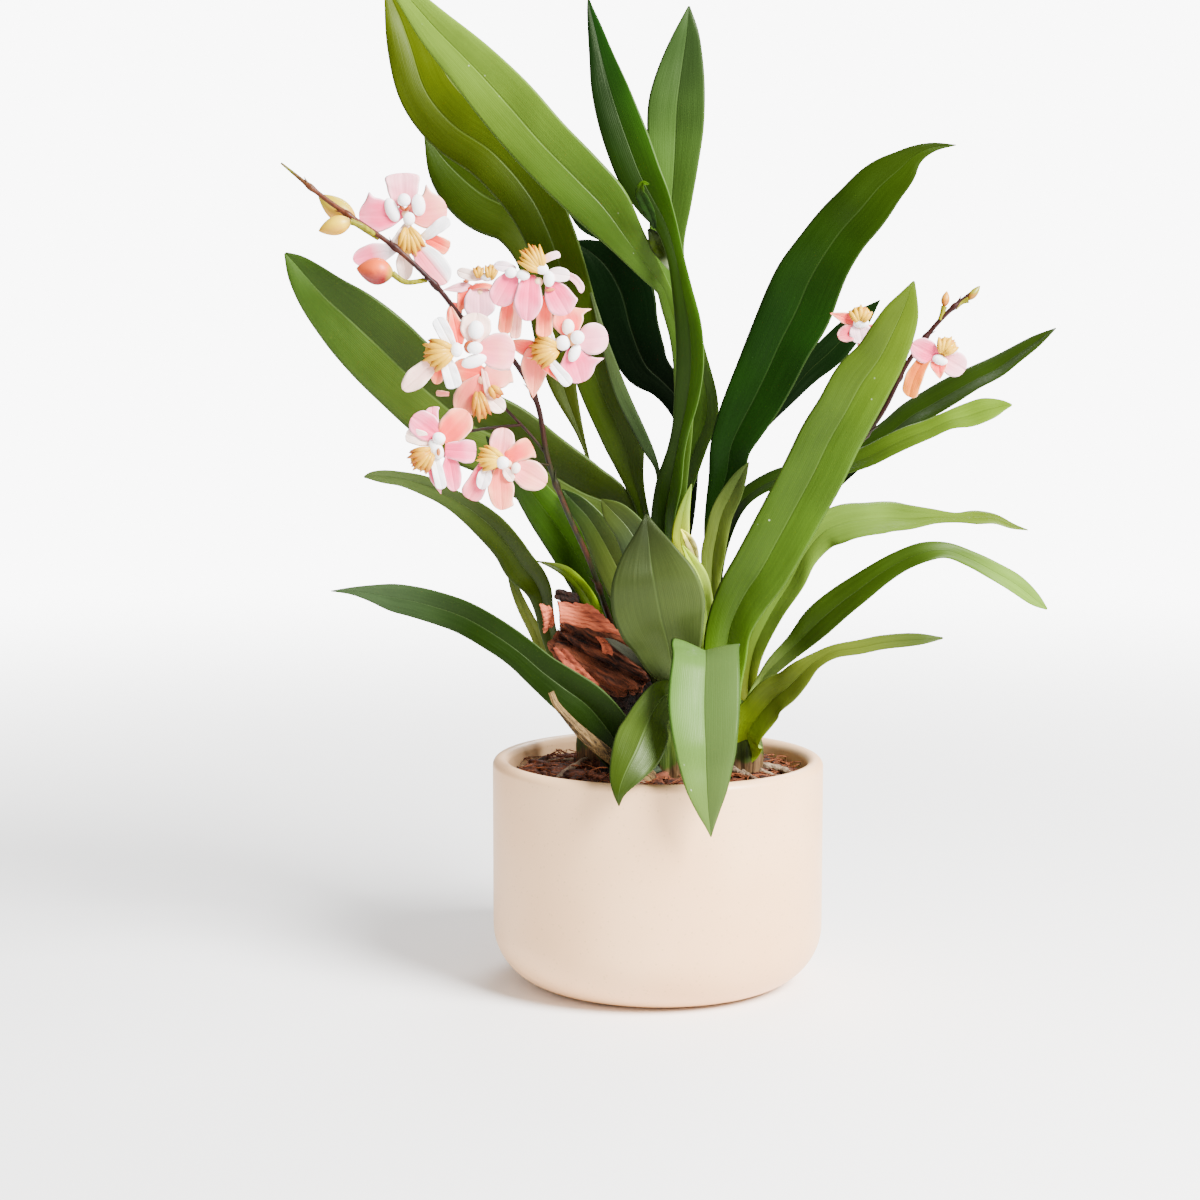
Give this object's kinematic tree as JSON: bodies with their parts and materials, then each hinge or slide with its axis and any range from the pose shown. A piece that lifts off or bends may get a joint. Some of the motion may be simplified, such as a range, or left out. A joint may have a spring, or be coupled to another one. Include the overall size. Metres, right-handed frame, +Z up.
{
  "type": "potted dancing lady orchid",
  "caption": "Potted dancing lady orchid: strap leaves and two sprays of pink flowers with yellow crests, growing in bark mix in a plain round ceramic pot.",
  "frame": {"origin": "middle of the pot's flat base", "axes": "+Z up out of the pot, +X to the right and +Y away from someone who sees the plant's front"},
  "size_m": [0.2799, 0.1322, 0.3671],
  "materials": {
    "ceramic": "smooth satin cream ceramic",
    "mix": "loose bark and fibre",
    "bark": "rough ridged bark",
    "dry_husk": "dry papery sheath",
    "leaf": "smooth leathery leaf",
    "young_leaf": "smooth pale young leaf",
    "stem": "smooth flower stem",
    "petal": "soft matt petal",
    "crest": "waxy ridged crest",
    "bud_red": "smooth bud",
    "bud_yellow": "smooth bud"
  },
  "bodies": {
    "root": {"pot": "ceramic", "mix": "mix", "bark_base": "bark", "bark_chunk": "bark", "dry_stub": "dry_husk", "growth_back": "leaf", "growth_left": "leaf", "growth_right_back": "leaf", "growth_right_front": "leaf", "growth_front": "leaf", "growth_young": "young_leaf", "spray_left": "stem", "spray_right": "stem", "bloom_01": "petal", "bloom_02": "petal", "bloom_03": "petal", "bloom_04": "petal", "bloom_05": "petal", "bloom_06": "petal", "bloom_07": "petal", "bloom_08": "petal", "bloom_09": "petal", "bloom_10": "petal", "crest_01": "crest", "crest_02": "crest", "crest_03": "crest", "crest_04": "crest", "crest_05": "crest", "crest_06": "crest", "crest_07": "crest", "crest_08": "crest", "crest_09": "crest", "crest_10": "crest", "bud_red": "bud_red", "bud_upper": "bud_yellow", "bud_lower": "bud_yellow"}
  },
  "joints": []
}
